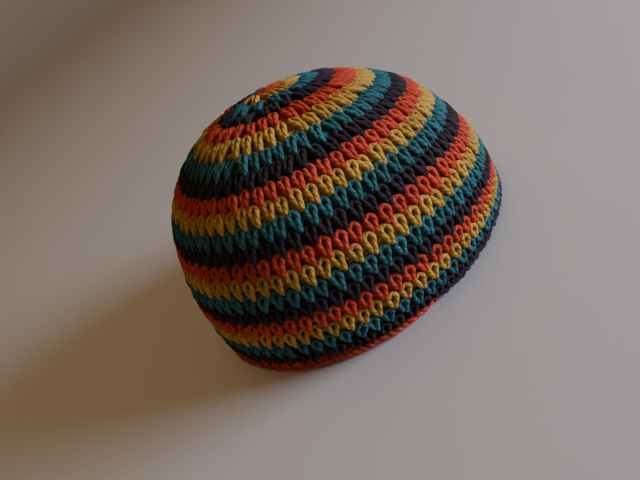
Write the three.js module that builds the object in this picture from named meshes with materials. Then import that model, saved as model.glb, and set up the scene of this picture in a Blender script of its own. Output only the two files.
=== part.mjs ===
// A crocheted beanie: four yarns worked side by side in one spiral, from the crown down to the rim.
// Millimetres, +Z up. The rim lies on z = 0, the front of the head is toward +X and -Y is the side
// that shows. Each yarn's row is one closed band that winds round the hat about five times.
import * as THREE from "three";

// Driving dimensions of the form
const MERIDIAN = 168.7; // middle of the crown to the rim, measured over the outside
const WIDTH_TO_LENGTH = 0.95; // side to side against front to back
const WALL = 5; // thickness of the crocheted fabric
const RIDGE = 0.9; // how far the middle of a row stands above the grooves beside it

// Driving dimensions of the rows
const ROW_HEIGHT = 7.95; // a row of half double crochet, once the crown is done
const CROWN_EXTRA = 11.8; // what the looser first rows add to the meridian in all
const CROWN_ROWS = 4; // rows over which that looseness dies away
const YARNS = 4; // yarns that are worked in turn, so each comes round every fourth row
const FIRST_ROW_AZIMUTH = -39; // where the orange yarn's row has reached its full height, degrees
const GAP = 0.3; // clearance between neighbouring rows
const EYE = 1.5; // radius of the small hole that the first round of stitches is pulled round
const SLIMMEST = 1.2; // height at which a row that runs out at the rim, or starts, is cut off
const STEPS_PER_TURN = 40; // sections in one turn, the same for all yarns so that they fit

// The meridian is a chain of arcs, with a slope that changes evenly from one line to the next
const SLOPES = [
  { share: 0.0, slope: 0 }, // share of the way from crown to rim, and degrees below level
  { share: 0.08, slope: 7 },
  { share: 0.18, slope: 16.5 },
  { share: 0.28, slope: 30 },
  { share: 0.4, slope: 42.5 },
  { share: 0.54, slope: 62.5 },
  { share: 0.7, slope: 71 },
  { share: 0.85, slope: 82.5 },
  { share: 1.0, slope: 81 },
];

// How the worn hat leans over the back of the head, which is toward -Y. Nothing leans at the rim.
const POLE_SHIFT = { x: 4, y: -13.6 }; // middle of the crown against the middle of the rim
const SIDE_BULGE = { y: -16.9 }; // what the middle of the sides moves beyond that
const SIDE_TILT = { x: -5.9, y: -7.8 }; // rise of the rows half way down, toward +X and +Y
const FAR_SIDE = { fullness: 20.3, rise: 6.3 }; // bulge and rise half way down the +Y side alone
const FAR_CROWN_DIP = 4; // how far the +Y side of the crown lies lower
const RIM_CENTRE = { x: 0, y: 4.7 }; // puts the origin under the middle of the whole hat

// The yarns in the order in which they are worked, going outward from the crown
const STRANDS = [
  { name: "orange_strand", colour: 0xc9482b },
  { name: "gold_strand", colour: 0xc79a3b },
  { name: "teal_strand", colour: 0x2c7384 },
  { name: "dark_strand", colour: 0x2b2630 },
];

const radians = THREE.MathUtils.degToRad;

// Radius and height on the meridian at an arc length from the middle of the crown, crown at z = 0.
function alongArcs(arc) {
  let radius = 0;
  let height = 0;
  for (let i = 1; i < SLOPES.length; i++) {
    const from = SLOPES[i - 1];
    const to = SLOPES[i];
    const start = from.share * MERIDIAN;
    const length = (to.share - from.share) * MERIDIAN;
    const a = radians(from.slope);
    const bend = (radians(to.slope) - a) / length;
    const b = a + bend * Math.min(arc - start, length);
    radius += (Math.sin(b) - Math.sin(a)) / bend;
    height += (Math.cos(b) - Math.cos(a)) / bend;
    if (arc <= start + length) break;
  }
  return { radius, height };
}
const RIM_DROP = alongArcs(MERIDIAN).height;

// Point on the outside of the hat at an arc length from the crown and an azimuth in radians.
function surfacePoint(arc, azimuth) {
  const { radius, height } = alongArcs(arc);
  const up = 1 - arc / MERIDIAN;
  const middle = 4 * up * (1 - up);
  const crown = (256 / 27) * up ** 3 * (1 - up); // 1 at a quarter of the way down
  const cos = Math.cos(azimuth);
  const sin = Math.sin(azimuth);
  const far = ((1 + sin) / 2) ** 2;
  const lean = POLE_SHIFT.y * up + (SIDE_BULGE.y + FAR_SIDE.fullness * far) * middle;
  const rise = SIDE_TILT.x * cos + SIDE_TILT.y * sin + FAR_SIDE.rise * far;
  return new THREE.Vector3(
    RIM_CENTRE.x + radius * cos + POLE_SHIFT.x * up,
    RIM_CENTRE.y + WIDTH_TO_LENGTH * radius * sin + lean,
    height - RIM_DROP + rise * middle - FAR_CROWN_DIP * far * crown,
  );
}

// Outward unit normal of that surface, from its slopes along and round the hat.
function surfaceNormal(arc, azimuth) {
  const step = 0.01;
  const down = surfacePoint(arc + step, azimuth).sub(surfacePoint(arc - step, azimuth));
  const round = surfacePoint(arc, azimuth + step).sub(surfacePoint(arc, azimuth - step));
  return down.cross(round).normalize();
}

// Point at a depth under the outside, on the ground plane where it would lie on or below the rim.
function wallPoint(arc, azimuth, depth) {
  const point = surfacePoint(arc, azimuth).addScaledVector(surfaceNormal(arc, azimuth), -depth);
  if (arc === MERIDIAN) point.z = 0;
  point.z = Math.max(point.z, 0);
  return point;
}

// Arc length at a height counted in rows from the middle of the crown.
function rowsToArc(rows) {
  const counted = Math.max(rows, 0);
  return ROW_HEIGHT * counted + CROWN_EXTRA * (1 - Math.exp(-counted / CROWN_ROWS));
}

// Section of a band at a number of turns after its full start: groove, ridge, groove, inner wall.
// It is null where the row is slimmer than the cut-off.
function bandSection(turns, startAzimuth) {
  const top = Math.max(rowsToArc(YARNS * turns) + GAP / 2, EYE);
  const bottom = Math.min(rowsToArc(YARNS * turns + 1) - GAP / 2, MERIDIAN);
  if (bottom - top < SLIMMEST) return null;
  const azimuth = startAzimuth + 2 * Math.PI * turns;
  return [
    wallPoint(top, azimuth, RIDGE),
    wallPoint((top + bottom) / 2, azimuth, 0),
    wallPoint(bottom, azimuth, RIDGE),
    wallPoint(bottom, azimuth, WALL),
    wallPoint(top, azimuth, WALL),
  ];
}

// Closed body that joins the sections one after the other, with a flat fan on each end.
function joinSections(sections) {
  const corners = sections[0].length;
  const last = (sections.length - 1) * corners;
  const faces = [];
  for (let start = 0; start < last; start += corners) {
    for (let i = 0; i < corners; i++) {
      const a = start + i;
      const b = start + ((i + 1) % corners);
      faces.push(a, b, a + corners, b, b + corners, a + corners);
    }
  }
  for (let i = 2; i < corners; i++) {
    faces.push(0, i, i - 1);
    faces.push(last, last + i - 1, last + i);
  }
  const geometry = new THREE.BufferGeometry().setFromPoints(sections.flat());
  geometry.setIndex(faces);
  geometry.computeVertexNormals();
  return geometry;
}

// One yarn's band. Each yarn in the order starts a quarter turn behind the one before it.
function makeStrand({ name, colour }, order) {
  const behind = order / YARNS;
  const startAzimuth = radians(FIRST_ROW_AZIMUTH) - 2 * Math.PI * behind;
  const rowsInAll = (MERIDIAN - CROWN_EXTRA) / ROW_HEIGHT;
  const firstStep = -STEPS_PER_TURN / YARNS;
  const lastStep = Math.ceil((rowsInAll / YARNS) * STEPS_PER_TURN);
  const sections = [];
  for (let step = firstStep; step <= lastStep; step++) {
    const section = bandSection(step / STEPS_PER_TURN, startAzimuth);
    if (section) sections.push(section);
  }
  const yarn = new THREE.MeshStandardMaterial({ color: colour, roughness: 0.9, metalness: 0 });
  const strand = new THREE.Mesh(joinSections(sections), yarn);
  strand.name = name;
  return strand;
}

const hat = new THREE.Group();
STRANDS.forEach((strand, order) => hat.add(makeStrand(strand, order)));

export default hat;
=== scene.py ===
"""The looks of a crocheted beanie: four yarns hooked side by side in one spiral, crown to rim.

Metres, +Z up, the rim on the floor. Every stitch is modelled as the loop that the hook makes, and
each yarn is one unbroken strand from the first stitch in the crown to the last one at the rim.
"""

import logging
import math
from dataclasses import dataclass, field
from enum import Enum
from typing import Any, Sequence

import bmesh
import bpy
import numpy as np
from mathutils import Matrix, Vector

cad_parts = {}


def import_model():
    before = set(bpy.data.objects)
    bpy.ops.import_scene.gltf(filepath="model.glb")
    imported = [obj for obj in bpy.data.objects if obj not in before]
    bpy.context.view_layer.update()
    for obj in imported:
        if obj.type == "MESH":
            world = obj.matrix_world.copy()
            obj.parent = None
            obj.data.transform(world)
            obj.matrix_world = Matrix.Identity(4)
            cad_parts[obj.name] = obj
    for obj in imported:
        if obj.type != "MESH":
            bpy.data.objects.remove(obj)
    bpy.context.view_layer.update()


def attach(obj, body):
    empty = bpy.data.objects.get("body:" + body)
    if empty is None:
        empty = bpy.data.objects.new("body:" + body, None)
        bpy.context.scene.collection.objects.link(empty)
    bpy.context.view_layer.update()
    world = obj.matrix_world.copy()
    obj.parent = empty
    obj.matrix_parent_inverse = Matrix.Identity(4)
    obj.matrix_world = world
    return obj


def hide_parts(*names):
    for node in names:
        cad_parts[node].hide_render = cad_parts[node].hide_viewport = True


log = logging.getLogger("beanie")

MM = 0.001
CORNERS = 4  # of the yarn's section and of each face, before they are rounded
WELD = 1e-6  # metres; vertices closer than this are one
TRIANGLES_PER_FACE = 8  # a square face becomes four when it is rounded once
SENSOR_WIDTH = 36.0  # millimetres
PHOTO_WIDTH = 640  # pixels


class Yarn(Enum):
    """The yarns in the order in which they are worked, going outward from the crown."""

    ORANGE = 0
    GOLD = 1
    TEAL = 2
    DARK = 3

    @property
    def below(self) -> "Yarn":
        """The yarn of the next row toward the rim."""
        return Yarn((self.value + 1) % len(Yarn))


YARNS = len(Yarn)


def linear(hex_colour: str) -> tuple[float, float, float, float]:
    """Turn an sRGB hex colour into linear RGBA.

    Args:
        hex_colour: six hex digits, such as "c9482b".

    Returns:
        The linear red, green and blue, and an alpha of 1.
    """
    channels = (int(hex_colour[i : i + 2], 16) / 255 for i in (0, 2, 4))
    red, green, blue = (
        c / 12.92 if c <= 0.04045 else ((c + 0.055) / 1.055) ** 2.4 for c in channels
    )
    return (red, green, blue, 1.0)


def add_node(
    tree: bpy.types.NodeTree, kind: str, inputs: dict[Any, Any] | None = None, **settings: Any
) -> bpy.types.Node:
    """Add a node to a tree.

    Args:
        tree: the node tree of a material or world.
        kind: Blender's name of the node type.
        inputs: what goes into each named or numbered socket, a value or another node's output.
        **settings: attributes of the node itself.

    Returns:
        The new node.
    """
    node = tree.nodes.new(kind)
    for name, value in settings.items():
        setattr(node, name, value)
    for socket, value in (inputs or {}).items():
        if isinstance(value, bpy.types.NodeSocket):
            tree.links.new(value, node.inputs[socket])
        else:
            node.inputs[socket].default_value = value
    return node


def listed_faces(bm: bmesh.types.BMesh) -> list[list[int]]:
    """List a mesh's faces in a fixed order, because extruding leaves them in a changing one.

    Args:
        bm: the mesh.

    Returns:
        The vertex numbers of each face, from its lowest number on, and the faces sorted by them.
    """
    bm.verts.index_update()
    loops = [[vert.index for vert in face.verts] for face in bm.faces]
    firsts = [loop.index(min(loop)) for loop in loops]
    return sorted(loop[i:] + loop[:i] for loop, i in zip(loops, firsts))


def ease(share: np.ndarray) -> np.ndarray:
    """Let a share that grows evenly from nought to one start and stop gently."""
    return share**2 * (3 - 2 * share)


@dataclass(frozen=True)
class YarnFinish:
    """Spun acrylic yarn, plied and matt: its loose fibres give it a soft bloom at the edges.

    Its colours are sRGB hex: lit on top of the plies, deep as painted shade between them, and of
    the bloom; the blend of lit and deep also carries the random dye and tone of each stitch.
    """

    yarn: Yarn
    slot: str
    lit: str
    deep: str
    bloom: str
    sheen: float = 0.5
    plies: float = 3.0
    twist_length: float = 11.0
    ply_roundness: float = 0.6
    shade_range: tuple[float, float] = (0.55, 1.45)

    @property
    def name(self) -> str:
        """Name of the material."""
        return f"plied_acrylic_yarn_{self.yarn.name.lower()}"

    def material(self) -> bpy.types.Material:
        """Make the yarn's material.

        Returns:
            A material that reads the strand's own UV map, in millimetres along the yarn and turns
            round it, and the tone of each stitch.
        """
        material = bpy.data.materials.new(self.name)
        material.use_nodes = True
        tree = material.node_tree
        tree.nodes.clear()
        along_yarn = add_node(tree, "ShaderNodeUVMap", uv_map="yarn").outputs["UV"]
        place = add_node(tree, "ShaderNodeTexCoord").outputs["Object"]
        # Three plies with a twist of one turn in 11 mm show as round cords with slanting grooves.
        twist = add_node(
            tree,
            "ShaderNodeMapping",
            {"Vector": along_yarn, "Scale": (self.plies / self.twist_length, self.plies, 1.0)},
        ).outputs["Vector"]
        parts = add_node(tree, "ShaderNodeSeparateXYZ", {"Vector": twist})
        turned = add_node(
            tree,
            "ShaderNodeMath",
            {0: parts.outputs["X"], 1: parts.outputs["Y"]},
            operation="ADD",
        ).outputs[0]
        angle = add_node(
            tree, "ShaderNodeMath", {0: turned, 1: math.pi}, operation="MULTIPLY"
        ).outputs[0]
        wave = add_node(tree, "ShaderNodeMath", {0: angle}, operation="SINE").outputs[0]
        arch = add_node(tree, "ShaderNodeMath", {0: wave}, operation="ABSOLUTE").outputs[0]
        ply = add_node(
            tree, "ShaderNodeMath", {0: arch, 1: self.ply_roundness}, operation="POWER"
        ).outputs[0]
        # Fibres 20 microns thick are too fine to show, so they are drawn as streaks 0.3 mm wide.
        lay = add_node(
            tree, "ShaderNodeMapping", {"Vector": along_yarn, "Scale": (0.45, 30.0, 1.0)}
        ).outputs["Vector"]
        streaks = add_node(
            tree,
            "ShaderNodeTexNoise",
            {"Vector": lay, "Scale": 1.0, "Detail": 2.0, "Roughness": 0.6},
        ).outputs[0]
        # Loose fibres make a fuzz, drawn about 0.7 mm coarse so that it still shows from afar.
        fuzz = add_node(
            tree,
            "ShaderNodeTexNoise",
            {"Vector": place, "Scale": 1400.0, "Detail": 4.0, "Roughness": 0.7},
        ).outputs[0]
        # Dye takes unevenly, in soft patches about 6 mm long.
        dye = add_node(
            tree, "ShaderNodeTexNoise", {"Vector": place, "Scale": 160.0, "Detail": 2.0}
        ).outputs[0]
        tone = add_node(tree, "ShaderNodeAttribute", attribute_name="tone").outputs["Fac"]
        # Dye and tone set the stitches apart at random, fuzz and streaks make each one look spun,
        # and the plies paint shade into the grooves between them.
        shade: Any = 0.0
        for layer, weight in (
            (dye, 0.35),
            (tone, 0.45),
            (fuzz, 0.35),
            (streaks, 0.4),
            (ply, 0.45),
        ):
            shade = add_node(
                tree, "ShaderNodeMath", {0: layer, 1: weight, 2: shade}, operation="MULTIPLY_ADD"
            ).outputs[0]
        darkest, lightest = self.shade_range
        ramp = add_node(
            tree,
            "ShaderNodeMapRange",
            {"Value": shade, "From Min": darkest, "From Max": lightest},
        ).outputs[0]
        # The mix goes toward deep for painted shade in the grooves between the plies, and for the
        # random dye and tone.
        colour = add_node(
            tree,
            "ShaderNodeMix",
            {"Factor": ramp, 6: linear(self.deep), 7: linear(self.lit)},
            data_type="RGBA",
        ).outputs[2]
        # The plies stand up most, with the fibres as a fine relief on them.
        height = ply
        for layer, weight in ((streaks, 0.3), (fuzz, 0.35)):
            height = add_node(
                tree, "ShaderNodeMath", {0: layer, 1: weight, 2: height}, operation="MULTIPLY_ADD"
            ).outputs[0]
        bump = add_node(
            tree, "ShaderNodeBump", {"Height": height, "Strength": 0.8, "Distance": 0.0006}
        ).outputs[0]
        shader = add_node(
            tree,
            "ShaderNodeBsdfPrincipled",
            {
                "Base Color": colour,
                "Normal": bump,
                "Roughness": 0.88,
                "IOR": 1.46,
                "Specular IOR Level": 0.25,
                "Sheen Weight": self.sheen,
                "Sheen Roughness": 0.5,
                "Sheen Tint": linear(self.bloom),
            },
        )
        add_node(tree, "ShaderNodeOutputMaterial", {"Surface": shader.outputs[0]})
        return material


@dataclass(frozen=True)
class PaperFinish:
    """Matt white studio paper with a faint warm cast: no gloss and no pattern that shows."""

    name: str = "studio_paper"
    colour: str = "eee8df"
    shaded: str = "cfc8be"
    mottle: float = 0.1

    def material(self) -> bpy.types.Material:
        """Make the paper's material.

        Returns:
            A material with a faint mottle about 3 cm wide, so that the sheet doesn't look flat.
        """
        material = bpy.data.materials.new(self.name)
        material.use_nodes = True
        tree = material.node_tree
        tree.nodes.clear()
        place = add_node(tree, "ShaderNodeTexCoord").outputs["Object"]
        clouds = add_node(tree, "ShaderNodeTexNoise", {"Vector": place, "Scale": 30.0}).outputs[0]
        level = add_node(
            tree, "ShaderNodeMapRange", {"Value": clouds, "To Min": 0.0, "To Max": self.mottle}
        ).outputs[0]
        colour = add_node(
            tree,
            "ShaderNodeMix",
            {"Factor": level, 6: linear(self.colour), 7: linear(self.shaded)},
            data_type="RGBA",
        ).outputs[2]
        shader = add_node(
            tree, "ShaderNodeBsdfPrincipled", {"Base Color": colour, "Roughness": 0.9, "IOR": 1.5}
        )
        add_node(tree, "ShaderNodeOutputMaterial", {"Surface": shader.outputs[0]})
        return material


@dataclass
class HatSurface:
    """The outside of the worn hat, in millimetres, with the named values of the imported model."""

    # Middle of the crown to the rim over the outside, and side to side against front to back
    meridian: float = 168.7
    width_to_length: float = 0.95
    # A row once the crown is done, and what the looser first rows add in all
    row_height: float = 7.95
    crown_extra: float = 11.8
    crown_rows: float = 4.0
    # The lean of the worn hat: x and y of the crown's middle, the sides' bulge, the rows' tilt
    pole_shift: tuple[float, float] = (4.0, -13.6)
    side_bulge: float = -16.9
    side_tilt: tuple[float, float] = (-5.9, -7.8)
    # The +Y side alone: how much fuller and higher it is half way down, and its lower crown
    far_fullness: float = 20.3
    far_rise: float = 6.3
    far_crown_dip: float = 4.0
    rim_centre: tuple[float, float] = (0.0, 4.7)
    # The sag of the rows, in rows: deepest over the brow, and a part of it all round
    brow_azimuth: float = -10.0
    brow_sag: float = 0.85
    brow_narrowness: float = 2.5
    sag_all_round: float = 0.25
    sag_start: float = 9.0
    sag_growth: float = 6.5
    held_rows: float = 3.0
    # The rows on the near side of the crown that are drawn toward its middle
    crown_draw: float = 0.35
    drawn_row: float = 3.5
    drawn_rows: float = 1.6
    # The meridian as arcs: share of the way down and degrees below level where each one starts
    shares: tuple[float, ...] = (0.0, 0.08, 0.18, 0.28, 0.4, 0.54, 0.7, 0.85, 1.0)
    slopes: tuple[float, ...] = (0.0, 7.0, 16.5, 30.0, 42.5, 62.5, 71.0, 82.5, 81.0)

    def __post_init__(self) -> None:
        """Work out where each arc of the meridian starts."""
        self._starts = np.array(self.shares) * self.meridian
        self._angles = np.radians(self.slopes)
        self._bends = np.diff(self._angles) / np.diff(self._starts)
        chord_out = np.diff(np.sin(self._angles)) / self._bends
        chord_up = np.diff(np.cos(self._angles)) / self._bends
        self._radii = np.concatenate(([0.0], np.cumsum(chord_out)))
        self._heights = np.concatenate(([0.0], np.cumsum(chord_up)))

    def along_arcs(self, arc: np.ndarray) -> tuple[np.ndarray, np.ndarray]:
        """Follow the meridian.

        Args:
            arc: distances from the middle of the crown over the outside.

        Returns:
            The radius and the height above the rim at each distance.
        """
        part = np.searchsorted(self._starts, arc, side="right") - 1
        part = np.clip(part, 0, len(self._bends) - 1)
        angle = self._angles[part]
        bend = self._bends[part]
        end = angle + bend * (arc - self._starts[part])
        radius = self._radii[part] + (np.sin(end) - np.sin(angle)) / bend
        height = self._heights[part] + (np.cos(end) - np.cos(angle)) / bend
        return radius, height - self._heights[-1]

    def point(self, arc: np.ndarray, azimuth: np.ndarray) -> np.ndarray:
        """Find points on the outside.

        Args:
            arc: distances from the middle of the crown.
            azimuth: angles round the hat in radians.

        Returns:
            Points with x, y and z in the last axis.
        """
        radius, height = self.along_arcs(arc)
        up = 1 - arc / self.meridian
        middle = 4 * up * (1 - up)
        crown = 256 / 27 * up**3 * (1 - up)  # 1 at a quarter of the way down
        cos, sin = np.cos(azimuth), np.sin(azimuth)
        far = ((1 + sin) / 2) ** 2
        lean = self.pole_shift[1] * up + (self.side_bulge + self.far_fullness * far) * middle
        rise = self.side_tilt[0] * cos + self.side_tilt[1] * sin + self.far_rise * far
        return np.stack(
            (
                self.rim_centre[0] + radius * cos + self.pole_shift[0] * up,
                self.rim_centre[1] + self.width_to_length * radius * sin + lean,
                height + rise * middle - self.far_crown_dip * far * crown,
            ),
            axis=-1,
        )

    def axes(self, arc: np.ndarray, azimuth: np.ndarray) -> np.ndarray:
        """Find the directions of the fabric.

        Args:
            arc: distances from the middle of the crown.
            azimuth: angles round the hat in radians.

        Returns:
            Unit vectors round the hat, down the hat and into it, stacked before the last axis.
        """
        step = 0.02
        off_the_pole = 0.5
        arc = np.maximum(arc, off_the_pole)
        down = self.point(arc + step, azimuth) - self.point(arc - step, azimuth)
        down /= np.linalg.norm(down, axis=-1, keepdims=True)
        round_ = self.point(arc, azimuth + step) - self.point(arc, azimuth - step)
        into = np.cross(round_, down)
        into /= np.linalg.norm(into, axis=-1, keepdims=True)
        return np.stack((np.cross(down, into), down, into), axis=-2)

    def sag(self, rows: np.ndarray, azimuth: np.ndarray) -> np.ndarray:
        """Find how far the worn rows have slipped from their even places.

        Args:
            rows: heights counted in rows from the middle of the crown.
            azimuth: angles round the hat in radians.

        Returns:
            Rows by which the fabric sits lower: it sags over the brow, and is held at the rim.
        """
        onset = ease(np.clip((rows - self.sag_start) / self.sag_growth, 0, 1))
        held = ease(np.clip((self.rows_in_all - rows) / self.held_rows, 0, 1))
        off_brow = np.cos(azimuth - math.radians(self.brow_azimuth)) - 1
        brow = np.exp(self.brow_narrowness * off_brow)
        brow = self.sag_all_round + (1 - self.sag_all_round) * brow
        near = 0.5 - 0.5 * np.sin(azimuth)
        drawn = np.exp(-(((rows - self.drawn_row) / self.drawn_rows) ** 2)) * near
        return self.brow_sag * brow * onset * held - self.crown_draw * drawn

    def rows_to_arc(self, rows: np.ndarray, azimuth: np.ndarray) -> np.ndarray:
        """Turn heights counted in rows from the middle of the crown into arc lengths.

        Args:
            rows: heights counted in rows.
            azimuth: angles round the hat in radians.

        Returns:
            Distances from the middle of the crown in millimetres.
        """
        rows = np.maximum(rows + self.sag(rows, azimuth), 0.0)
        return self.row_height * rows + self.crown_extra * (1 - np.exp(-rows / self.crown_rows))

    @property
    def rows_in_all(self) -> float:
        """Rows between the middle of the crown and the rim."""
        return (self.meridian - self.crown_extra) / self.row_height


@dataclass
class Stitch:
    """One half double crochet in 3 mm yarn, as the hook leaves it, for a cell of the usual size.

    The yarn comes up in the tail, rounds the loop whose top is caught under the row above, and goes
    back down the tail to the bar on the inside that leads to the next stitch.
    """

    pitch: float = 7.9
    row_height: float = 7.95
    cage_radius: float = 2.07
    rings: int = 19
    # Rings stand closer where the yarn shows than on the inside, and in between by depth
    ring_gaps: tuple[float, float] = (1.25, 2.3)
    gap_depths: tuple[float, float] = (2.4, 3.2)
    curve_steps: int = 12
    length: float = field(init=False, default=0.0)
    # Path of the yarn: share of the pitch, share of the row, millimetres under the outside
    path: tuple[tuple[float, float, float], ...] = (
        (0.00, 0.86, 4.3),
        (0.20, 0.92, 4.1),
        (0.38, 1.04, 3.6),
        (0.45, 1.02, 2.7),
        (0.44, 0.87, 1.9),
        (0.39, 0.71, 1.5),
        (0.36, 0.55, 1.4),
        (0.29, 0.41, 1.4),
        (0.20, 0.28, 1.6),
        (0.24, 0.10, 1.9),
        (0.37, -0.01, 2.4),
        (0.50, -0.04, 2.6),
        (0.63, -0.01, 2.4),
        (0.76, 0.10, 1.9),
        (0.80, 0.28, 1.5),
        (0.71, 0.41, 1.3),
        (0.66, 0.55, 1.3),
        (0.64, 0.71, 1.35),
        (0.60, 0.89, 1.4),
        (0.56, 1.06, 1.8),
        (0.57, 1.19, 2.8),
        (0.67, 1.14, 3.7),
    )

    def centres(self) -> np.ndarray:
        """Lay the rings out along the path, and measure the length of yarn in it.

        Returns:
            The middle of each ring in path coordinates; the last one is the first of the next
            stitch.
        """
        points = np.array(self.path)
        pitch = (1, 0, 0)
        knots = np.vstack((points[-1:] - pitch, points, points[:2] + pitch))
        fine = []
        for i in range(1, len(knots) - 2):
            a, b, c, d = knots[i - 1 : i + 3]
            for t in np.linspace(0, 1, self.curve_steps, endpoint=False):
                fine.append(
                    0.5 * (2 * b + (c - a) * t + (2 * a - 5 * b + 4 * c - d) * t**2)
                    + 0.5 * (3 * b - a - 3 * c + d) * t**3
                )
        fine.append(knots[-2])
        fine = np.array(fine)
        size = fine * (self.pitch, self.row_height, 1)
        steps = np.linalg.norm(np.diff(size, axis=0), axis=1)
        self.length = float(steps.sum())
        gaps = np.interp(size[1:, 2], self.gap_depths, self.ring_gaps)
        spent = np.concatenate(([0], np.cumsum(steps / gaps)))
        even = np.linspace(0, spent[-1], self.rings + 1)
        return np.stack([np.interp(even, spent, fine[:, i]) for i in range(3)], axis=-1)

    def frames(self, centres: np.ndarray) -> list[Matrix]:
        """Turn the section along the path without a twist that builds up.

        Args:
            centres: the middle of each ring in path coordinates.

        Returns:
            A placing matrix for each ring, in millimetres, with its Z along the yarn.
        """
        points = centres * (self.pitch, self.row_height, 1)
        pitch = (self.pitch, 0, 0)
        wrapped = np.vstack((points[-2] - pitch, points, points[1] + pitch))
        tangents = [Vector(wrapped[i + 2] - wrapped[i]).normalized() for i in range(len(points))]
        side = tangents[0].cross(Vector((0, 0, 1))).normalized()
        sides = [side]
        for before, after in zip(tangents, tangents[1:]):
            side = (before.rotation_difference(after) @ side).normalized()
            sides.append(side)
        # What the section has turned by at the end is taken back evenly on the way.
        miss = sides[-1].angle(sides[0])
        if sides[-1].cross(sides[0]).dot(tangents[0]) < 0:
            miss = -miss
        result = []
        for i, (place, tangent, side) in enumerate(zip(points, tangents, sides)):
            side = Matrix.Rotation(miss * i / self.rings, 3, tangent) @ side
            turn = Matrix((side, tangent.cross(side), tangent)).transposed().to_4x4()
            result.append(Matrix.Translation(Vector(place)) @ turn)
        return result

    def cage(self) -> tuple[np.ndarray, np.ndarray, np.ndarray, np.ndarray]:
        """Extrude a square section along the path, one ring at a time.

        Returns:
            Each vertex's offset from the middle of its ring, its ring, its corner, and the faces.
        """
        centres = self.centres()
        frames = self.frames(centres)
        bm = bmesh.new()
        ring_of = bm.verts.layers.int.new("ring")
        corner_of = bm.verts.layers.int.new("corner")
        ring = bmesh.ops.create_circle(bm, segments=CORNERS, radius=self.cage_radius)["verts"]
        for corner, vert in enumerate(ring):
            vert[corner_of] = corner
        bmesh.ops.transform(bm, matrix=frames[0], verts=ring)
        for i in range(1, len(frames)):
            edges = [e for e in bm.edges if all(v in ring for v in e.verts)]
            grown = bmesh.ops.extrude_edge_only(bm, edges=edges)["geom"]
            ring = [part for part in grown if isinstance(part, bmesh.types.BMVert)]
            for vert in ring:
                vert[ring_of] = i
            bmesh.ops.transform(bm, matrix=frames[i] @ frames[i - 1].inverted(), verts=ring)
        bmesh.ops.recalc_face_normals(bm, faces=bm.faces)
        faces = np.array(listed_faces(bm))
        rings = np.array([v[ring_of] for v in bm.verts])
        corners = np.array([v[corner_of] for v in bm.verts])
        spots = np.array([v.co[:] for v in bm.verts])
        bm.free()
        offsets = spots - (centres * (self.pitch, self.row_height, 1))[rings]
        return offsets, rings, corners, faces


@dataclass
class BackBar(Stitch):
    """A bar that each half double crochet leaves across the inside, behind the loop's opening."""

    level: float = 0.3
    depth: float = 4.55
    # Share of the pitch, and how far the bar bows down the row there, as a share of it
    bows: tuple[tuple[float, float], ...] = ((0.0, -0.03), (0.25, 0.03), (0.5, 0.08), (0.75, 0.03))
    cage_radius: float = 2.5
    rings: int = 3
    ring_gaps: tuple[float, float] = (1.0, 1.0)

    def __post_init__(self) -> None:
        """Draw the bar at its level, with a slight bow in each stitch."""
        self.path = tuple(
            (share, self.level + bow, self.depth - 2 * bow) for share, bow in self.bows
        )


@dataclass
class RimCord(Stitch):
    """One of the two legs of the chain along the tops of the last row, which is the hat's edge."""

    phase: float = 0.0
    cage_radius: float = 1.85
    rings: int = 7
    ring_gaps: tuple[float, float] = (1.0, 1.0)
    wind: float = 0.85
    depth: float = 2.0

    def __post_init__(self) -> None:
        """Wind the leg round the other one, once in each stitch."""
        swing = self.wind / self.row_height
        turns = [(share, 2 * math.pi * (share + self.phase)) for share in (0.0, 0.25, 0.5, 0.75)]
        self.path = tuple(
            (share, swing * math.sin(turn), self.depth - self.wind * math.cos(turn))
            for share, turn in turns
        )


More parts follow.
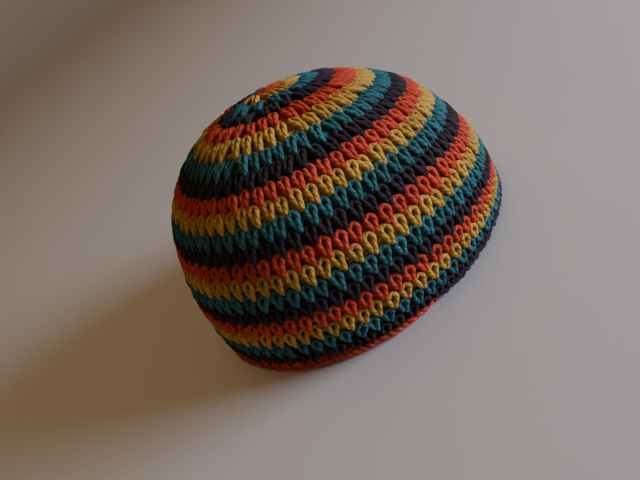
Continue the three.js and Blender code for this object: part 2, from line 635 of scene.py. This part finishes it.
@dataclass
class SpiralRows:
    """Where every stitch of every yarn goes: the rounds' counts and how the rows interlock."""

    surface: HatSurface
    # Degrees: where the first yarn's row is at its full height, and the side that is seen most
    first_azimuth: float = -39.0
    facing_azimuth: float = -85.0
    # Stitches in each round, crown to rim: about eight more each round until the sides
    rounds: tuple[int, ...] = (
        *(6, 14, 24, 34, 43, 51, 57, 61, 63, 63, 64),
        *(65, 66, 67, 69, 70, 71, 71, 72, 72, 73, 73),
    )
    # Rows up to which the stitches stand evenly, and the lean as shares of a pitch
    crown: float = 7.5
    lean: float = 0.2
    lean_round: float = -0.12
    turn_step: float = 1e-4

    def azimuth(self, yarn: Yarn, turns: np.ndarray) -> np.ndarray:
        """Angle round the hat, in radians, at a number of turns after a yarn's full start."""
        first = math.radians(self.first_azimuth) - 2 * math.pi * yarn.value / YARNS
        return first + 2 * math.pi * turns

    def from_facing(self, azimuth: np.ndarray) -> np.ndarray:
        """Angle from the side that is seen most, between minus pi and pi."""
        return (azimuth - math.radians(self.facing_azimuth) + math.pi) % (2 * math.pi) - math.pi

    def leaning(self, azimuth: np.ndarray) -> np.ndarray:
        """Share of a pitch by which a stitch's top stands to the side of its tail."""
        return self.lean + self.lean_round * np.sin(self.from_facing(azimuth))

    def count(self, rows: np.ndarray) -> np.ndarray:
        """Count the stitches in a round.

        Args:
            rows: heights counted in rows.

        Returns:
            Stitches per round at each height.
        """
        quarter = 360 / YARNS
        seam = (180 + self.facing_azimuth - self.first_azimuth) % quarter / quarter
        return np.interp(rows - seam, np.arange(len(self.rounds)), self.rounds)

    def field(self, azimuth: np.ndarray, rows: np.ndarray) -> np.ndarray:
        """Number of the stitch at a place, up to whole numbers.

        Args:
            azimuth: angles round the hat in radians.
            rows: height counted in rows.

        Returns:
            A number that grows by one from stitch to stitch, and by a half and the lean from row
            to row, so that each stitch's tail comes down between two tops.
        """
        angle = self.from_facing(azimuth)
        return self.count(rows) * angle / (2 * math.pi) + (0.5 + self.lean) * rows

    def stitch_turns(self, yarn: Yarn, first: float, last: float) -> np.ndarray:
        """Find where the stitches of a yarn start.

        Args:
            yarn: the yarn.
            first: turns at which its row starts.
            last: turns at which its row ends.

        Returns:
            The turns at the start of each stitch, and at the end of the last one.
        """
        turns = np.arange(first, last, self.turn_step)
        numbers = self.field(self.azimuth(yarn, turns), YARNS * turns)
        steps = np.diff(numbers)
        # At the far side the angle starts again, and the count goes on in whole numbers.
        steps = np.where(np.abs(steps) > 1, np.roll(steps, 1), steps)
        jumps = np.round(np.diff(numbers) - steps)
        numbers[1:] -= np.cumsum(jumps)
        # The crown grows too fast to interlock, and its stitches stand evenly instead.
        crown = int(np.searchsorted(YARNS * turns, self.crown))
        shares = self.count(YARNS * turns[:crown]) + YARNS * (0.5 + self.lean)
        shares *= self.turn_step
        if crown:
            numbers[:crown] = numbers[min(crown, len(numbers) - 1)] - np.cumsum(shares[::-1])[::-1]
        whole = np.arange(math.ceil(numbers[0]), math.floor(numbers[-1]) + 1)
        return np.interp(whole, numbers, turns)


@dataclass
class YarnStrand:
    """One yarn from its first stitch in the crown to its last at the rim, in mm and rows."""

    finish: YarnFinish
    material: bpy.types.Material
    surface: HatSurface
    rows: SpiralRows
    role: str
    stitches: tuple[Stitch, ...]
    seed: int = 11
    tone_seed: int = 18
    first_row: float = -0.65
    least_arc: float = 1.0
    # Shares of a row: how far above its row a tail starts to swing into its gap, and over what
    tail_fall: tuple[float, float] = (0.2, 1.25)
    # Where the row runs out: rows left at its end, and the rows over which it shortens
    smallest_row: float = 0.45
    run_out: tuple[float, float] = (0.2, 1.15)
    # Where the stitches stop above the edge, how softly, and how they dip in behind the cord
    rim_clearance: float = 3.3
    rim_softness: float = 0.5
    rim_dip: float = 0.3
    dip_height: float = 3.0
    # The cord's height, the rows left where it starts and ends, and how deep its ends tuck in
    cord_height: float = 2.15
    cord_rows: tuple[float, float] = (1.24, 0.13)
    cord_tuck: float = 1.2
    tuck_stitches: float = 2.0
    # How much thicker the bars are in the middle of the crown
    crown_bars: float = 0.45
    # Unevenness by hand: shares of the pitch and the row, and millimetres of depth
    jitter: tuple[float, float, float] = (0.05, 0.04, 0.22)

    @property
    def yarn(self) -> Yarn:
        """The yarn that the strand is worked in."""
        return self.finish.yarn

    @property
    def name(self) -> str:
        """Name of the piece."""
        return f"{self.yarn.name.lower()}_{self.role}"

    def span(self, overhang: float = 0.0) -> tuple[float, float]:
        """Turns at which the stitches start and end, and beyond that by an overhang in rows."""
        last = self.surface.rows_in_all - self.smallest_row + 2 * overhang
        return (self.first_row - overhang) / YARNS, last / YARNS

    def turns(self, stitch: Stitch) -> np.ndarray:
        """Find where the stitches are.

        Args:
            stitch: the master stitch.

        Returns:
            The turns at which each stitch starts, and at which the last one ends.
        """
        first, last = self.span()
        if isinstance(stitch, RimCord):
            first, last = ((self.surface.rows_in_all - left) / YARNS for left in self.cord_rows)
        return self.rows.stitch_turns(self.yarn, first, last)

    def interlock(self, start: np.ndarray, width: np.ndarray, down: np.ndarray) -> np.ndarray:
        """Find how far the yarn moves sideways so that tails come down between the tops below.

        Args:
            start: where each stitch starts, in turns.
            width: the width of each stitch in turns.
            down: share of the row at each ring of each stitch.

        Returns:
            Shares of the pitch for each ring of each stitch.
        """
        top = 0.5 + self.lean_at(self.yarn, start) / 2
        below = self.rows.stitch_turns(self.yarn.below, *self.span(overhang=0.6))
        tops = below[:-1] + np.diff(below) * (0.5 + self.lean_at(self.yarn.below, below[:-1]) / 2)
        gaps = (tops[:-1] + tops[1:]) / 2 - 1 / YARNS
        wanted = start + width * (1 - top)
        nearest = gaps[np.abs(wanted - gaps[None]).argmin(axis=1)][:, None]
        beyond = np.clip((wanted - gaps[-1]) / width, 0, 1)
        # Where a round gains a stitch, the tails beside the new gap share it between them.
        reach = np.clip((nearest - wanted) / width, -0.5, 0.5)
        reach *= 1 - 0.5 * (2 * reach) ** 4
        tail = 1 - top + reach * (1 - beyond)
        above, over = self.tail_fall
        fall = ease(np.clip((down + above) / over, 0, 1))
        return (top - 0.5) * (1 - fall) + (tail - 0.5) * fall

    def lean_at(self, yarn: Yarn, turns: np.ndarray) -> np.ndarray:
        """Lean of a yarn's stitches at some turns."""
        return self.rows.leaning(self.rows.azimuth(yarn, turns))

    def centres(self, stitch: Stitch) -> tuple[np.ndarray, np.ndarray]:
        """Lay the path of a stitch along the row.

        Args:
            stitch: the master stitch.

        Returns:
            The middles of the rings in millimetres, and the fabric's axes there.
        """
        rng = np.random.default_rng(self.seed + self.yarn.value)
        turns, path = self.turns(stitch), stitch.centres()
        start, width = turns[:-1, None], np.diff(turns)[:, None]
        share = np.linspace(0, 1, len(path))
        across, down, depth = (
            np.broadcast_to(values, (len(start), len(share))).copy() for values in path.T
        )
        window = np.sin(math.pi * share) ** 0.5
        if type(stitch) is Stitch:
            across += window * self.interlock(start, width, down)
        for values, size in zip((across, down, depth), self.jitter):
            wave = rng.normal(0, 1, (len(start), 2, 1))
            values += size * window * (wave[:, 0] + wave[:, 1] * np.cos(2 * math.pi * share))
        place = start + width * across
        around = self.rows.azimuth(self.yarn, place)
        if isinstance(stitch, RimCord):
            # The cord tucks in behind its neighbour where it starts and where it runs out.
            ends = np.minimum(place - place[0, 0], place[-1, -1] - place)
            ends = np.clip(ends / (self.tuck_stitches * width), 0, 1)
            depth += self.cord_tuck * (1 - ends) ** 2
            arc = self.surface.meridian - self.cord_height + down * self.surface.row_height
        else:
            # The last row runs out in shorter and shorter stitches, which end at the cord.
            end, over = self.run_out
            left = self.surface.rows_in_all - YARNS * (start + width * share)
            rows = YARNS * place + down * np.clip((left - end) / over, 0, 1)
            limit = self.surface.meridian - self.rim_clearance
            room = (limit - self.surface.rows_to_arc(rows, around)) / self.rim_softness
            arc = np.maximum(limit - np.logaddexp(0, room) * self.rim_softness, self.least_arc)
            depth += self.rim_dip * np.clip(arc - limit + self.dip_height, 0, self.dip_height)
        axes = self.surface.axes(arc, around)
        middle = self.surface.point(arc, around) + axes[..., 2, :] * depth[..., None]
        return middle, axes

    def fullness(self, stitch: Stitch) -> np.ndarray:
        """Find how thick the yarn is along the row.

        Args:
            stitch: the master stitch.

        Returns:
            The thickness at each ring of each stitch, as a multiple of the master stitch's.
        """
        turns = self.turns(stitch)
        place = turns[:-1, None] + np.diff(turns)[:, None] * np.linspace(0, 1, stitch.rings + 1)
        # The loose first rows take thicker bars to close the wall behind their tall loops.
        extra = self.crown_bars if isinstance(stitch, BackBar) else 0.0
        return 1 + extra * np.exp(-np.maximum(place, 0) * YARNS / self.surface.crown_rows)

    def mesh(self) -> bpy.types.Mesh:
        """Copy each master stitch along the row and join the copies into one tube.

        Returns:
            The mesh in metres, with its UV map and the tone of each stitch.
        """
        spots, faces, maps, tones = [], [], [], []
        rng = np.random.default_rng(self.tone_seed + self.yarn.value)
        for stitch in self.stitches:
            offsets, rings, corners, cells = stitch.cage()
            middle, axes = self.centres(stitch)
            count, total = len(middle), len(offsets)
            turned = np.einsum("vk,svkc->svc", offsets, axes[:, rings])
            placed = middle[:, rings] + turned * self.fullness(stitch)[:, rings, None]
            placed[..., 2] = np.maximum(placed[..., 2], 0.0)
            first = sum(len(part) for part in spots)
            copy = np.arange(count)[:, None, None]
            faces.append((cells[None] + first + copy * total).reshape(-1, CORNERS))
            spots.append(placed.reshape(-1, 3) * MM)
            # A face across the seam of the map takes its corner 0 as a whole turn.
            corner = corners[cells]
            seam = (corner.max(axis=1, keepdims=True) == CORNERS - 1) & (corner == 0)
            uv = np.empty((count, len(cells), CORNERS, 2))
            uv[..., 0] = ((rings / stitch.rings)[cells][None] + copy) * stitch.length
            uv[..., 1] = (corner / CORNERS + seam)[None]
            maps.append(uv.ravel())
            tones.append(np.repeat(rng.uniform(0, 1, count), total))
        mesh = bpy.data.meshes.new(self.name)
        mesh.from_pydata(np.vstack(spots).tolist(), [], np.vstack(faces).tolist())
        mesh.uv_layers.new(name="yarn").data.foreach_set("uv", np.concatenate(maps))
        tone = mesh.attributes.new("tone", "FLOAT", "POINT")
        tone.data.foreach_set("value", np.concatenate(tones))
        bm = bmesh.new()
        bm.from_mesh(mesh)
        bmesh.ops.remove_doubles(bm, verts=bm.verts, dist=WELD)
        ends = [edge for edge in bm.edges if edge.is_boundary]
        bmesh.ops.holes_fill(bm, edges=ends, sides=CORNERS)
        bm.to_mesh(mesh)
        bm.free()
        mesh.shade_smooth()
        return mesh

    def build(self) -> bpy.types.Object:
        """Make the piece, dress it and hand it to the frame.

        Returns:
            The piece's object.
        """
        piece = bpy.data.objects.new(self.name, self.mesh())
        bpy.context.scene.collection.objects.link(piece)
        rounding = piece.modifiers.new("round_section", "SUBSURF")
        rounding.levels = rounding.render_levels = 1
        piece.data.materials.append(self.material)
        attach(piece, "root")
        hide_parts(f"{self.yarn.name.lower()}_strand")
        log.info("%s: %d triangles", piece.name, TRIANGLES_PER_FACE * len(piece.data.polygons))
        return piece


@dataclass
class Beanie:
    """The whole hat: four strands in one spiral."""

    surface: HatSurface = field(default_factory=HatSurface)
    finishes: tuple[YarnFinish, ...] = (
        YarnFinish(Yarn.ORANGE, "orange_yarn", "d24a30", "9e3622", "d8623e"),
        YarnFinish(Yarn.GOLD, "gold_yarn", "d29f40", "906c2a", "dcb262"),
        YarnFinish(Yarn.TEAL, "teal_yarn", "366f6c", "213e28", "4f97cc"),
        YarnFinish(Yarn.DARK, "dark_yarn", "332a2c", "1a1510", "5b4f6a"),
    )
    bar_levels: tuple[float, ...] = (0.26, 0.61)
    cord_phases: tuple[float, ...] = (0.0, 0.5)

    def build(self) -> list[bpy.types.Object]:
        """Build the strands in the order in which they are worked.

        Returns:
            The pieces, two for each yarn.
        """
        rows = SpiralRows(self.surface)
        inside = (
            *(BackBar(level=level) for level in self.bar_levels),
            *(RimCord(phase=phase) for phase in self.cord_phases),
        )
        pieces = []
        for finish in self.finishes:
            material = finish.material()
            for role, stitches in (("stitches", (Stitch(),)), ("bars_and_rim", inside)):
                strand = YarnStrand(finish, material, self.surface, rows, role, stitches)
                pieces.append(strand.build())
        return pieces


@dataclass
class Studio:
    """Pale paper sweep, soft lights, and the camera at the photograph's angle."""

    paper: PaperFinish = PaperFinish()
    sweep_segments: int = 96
    # Radius and height of the paper, from where it starts to rise
    sweep_radii: tuple[tuple[float, float], ...] = (
        *((2.2, 0.0), (2.6, 0.03), (3.0, 0.13), (3.3, 0.32)),
        *((3.5, 0.6), (3.6, 1.0), (3.62, 1.5)),
    )
    camera_place: tuple[float, float, float] = (0.0, -0.32065, 0.2087)
    camera_aim: tuple[float, float, float] = (-0.01419, 0.0047, 0.01626)
    camera_roll: float = 36.65
    focal_pixels: float = 630.1
    light_aim: tuple[float, float, float] = (0.0, 0.0, 0.05)
    room_hue: str = "dcb78a"
    room_strength: float = 0.17

    def build_floor(self) -> bpy.types.Object:
        """Make the floor, whose edge sweeps up all round, from a disc whose rim is extruded.

        Returns:
            The floor's object.
        """
        bm = bmesh.new()
        flat_radius = self.sweep_radii[0][0]
        bmesh.ops.create_circle(bm, cap_ends=True, segments=self.sweep_segments, radius=flat_radius)
        for (radius, height), (wider, higher) in zip(self.sweep_radii, self.sweep_radii[1:]):
            edges = [e for e in bm.edges if e.is_boundary]
            grown = bmesh.ops.extrude_edge_only(bm, edges=edges)["geom"]
            ring = [part for part in grown if isinstance(part, bmesh.types.BMVert)]
            bmesh.ops.scale(bm, vec=(wider / radius, wider / radius, 1), verts=ring)
            bmesh.ops.translate(bm, vec=(0, 0, higher - height), verts=ring)
        bmesh.ops.recalc_face_normals(bm, faces=bm.faces)
        if bm.faces[0].normal.z < 0:
            bmesh.ops.reverse_faces(bm, faces=bm.faces)
        mesh = bpy.data.meshes.new("paper_sweep")
        mesh.from_pydata([vert.co[:] for vert in bm.verts], [], listed_faces(bm))
        bm.free()
        mesh.shade_smooth()
        floor = bpy.data.objects.new("paper_sweep", mesh)
        bpy.context.scene.collection.objects.link(floor)
        mesh.materials.append(self.paper.material())
        return floor

    def build_light(
        self, name: str, place: Sequence[float], size: float, watts: float, hue: str
    ) -> None:
        """Add a soft square light that points at the hat.

        Args:
            name: name of the light.
            place: where it hangs, in metres.
            size: length of its side in metres.
            watts: its power.
            hue: its colour as sRGB hex.
        """
        light = bpy.data.lights.new(name, "AREA")
        light.shape = "SQUARE"
        light.size = size
        light.energy = watts
        light.color = linear(hue)[:3]
        lamp = bpy.data.objects.new(name, light)
        lamp.location = place
        toward = Vector(self.light_aim) - Vector(place)
        lamp.rotation_euler = toward.to_track_quat("-Z", "Y").to_euler()
        bpy.context.scene.collection.objects.link(lamp)

    def build_camera(self) -> None:
        """Place the camera, rolled as the photograph was, so that the hat leans to the left."""
        place, aim = Vector(self.camera_place), Vector(self.camera_aim)
        back = (place - aim).normalized()
        right = Vector((0, 0, 1)).cross(back).normalized()
        up = back.cross(right)
        roll = math.radians(self.camera_roll)
        rolled_right = right * math.cos(roll) - up * math.sin(roll)
        rolled_up = right * math.sin(roll) + up * math.cos(roll)
        turn = Matrix((rolled_right, rolled_up, back)).transposed().to_4x4()
        lens = bpy.data.cameras.new("camera")
        lens.sensor_width = SENSOR_WIDTH
        lens.lens = self.focal_pixels * SENSOR_WIDTH / PHOTO_WIDTH
        lens.clip_start = 0.01
        camera = bpy.data.objects.new("camera", lens)
        camera.matrix_world = Matrix.Translation(place) @ turn
        bpy.context.scene.collection.objects.link(camera)
        bpy.context.scene.camera = camera

    def build_world(self) -> None:
        """Fill the room with faint warm light."""
        world = bpy.data.worlds.new("room")
        bpy.context.scene.world = world
        world.use_nodes = True
        tree = world.node_tree
        tree.nodes.clear()
        glow = add_node(
            tree,
            "ShaderNodeBackground",
            {"Color": linear(self.room_hue), "Strength": self.room_strength},
        ).outputs[0]
        add_node(tree, "ShaderNodeOutputWorld", {"Surface": glow})

    def build(self) -> None:
        """Build the camera, the floor, the lights and the room."""
        self.build_camera()
        self.build_floor()
        self.build_light("window", place=(1.25, -0.51, 0.28), size=0.7, watts=33.0, hue="d2e0ff")
        self.build_light("ceiling", place=(-0.1, 0.1, 1.6), size=1.2, watts=2.6, hue="ffd69a")
        self.build_world()


def main() -> None:
    """Build the scene and report each piece."""
    logging.basicConfig(level=logging.INFO, format="%(name)s: %(message)s")
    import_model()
    Studio().build()
    pieces = Beanie().build()
    for piece in pieces:
        log.info("%s rides on root", piece.name)


if __name__ == "__main__":
    main()
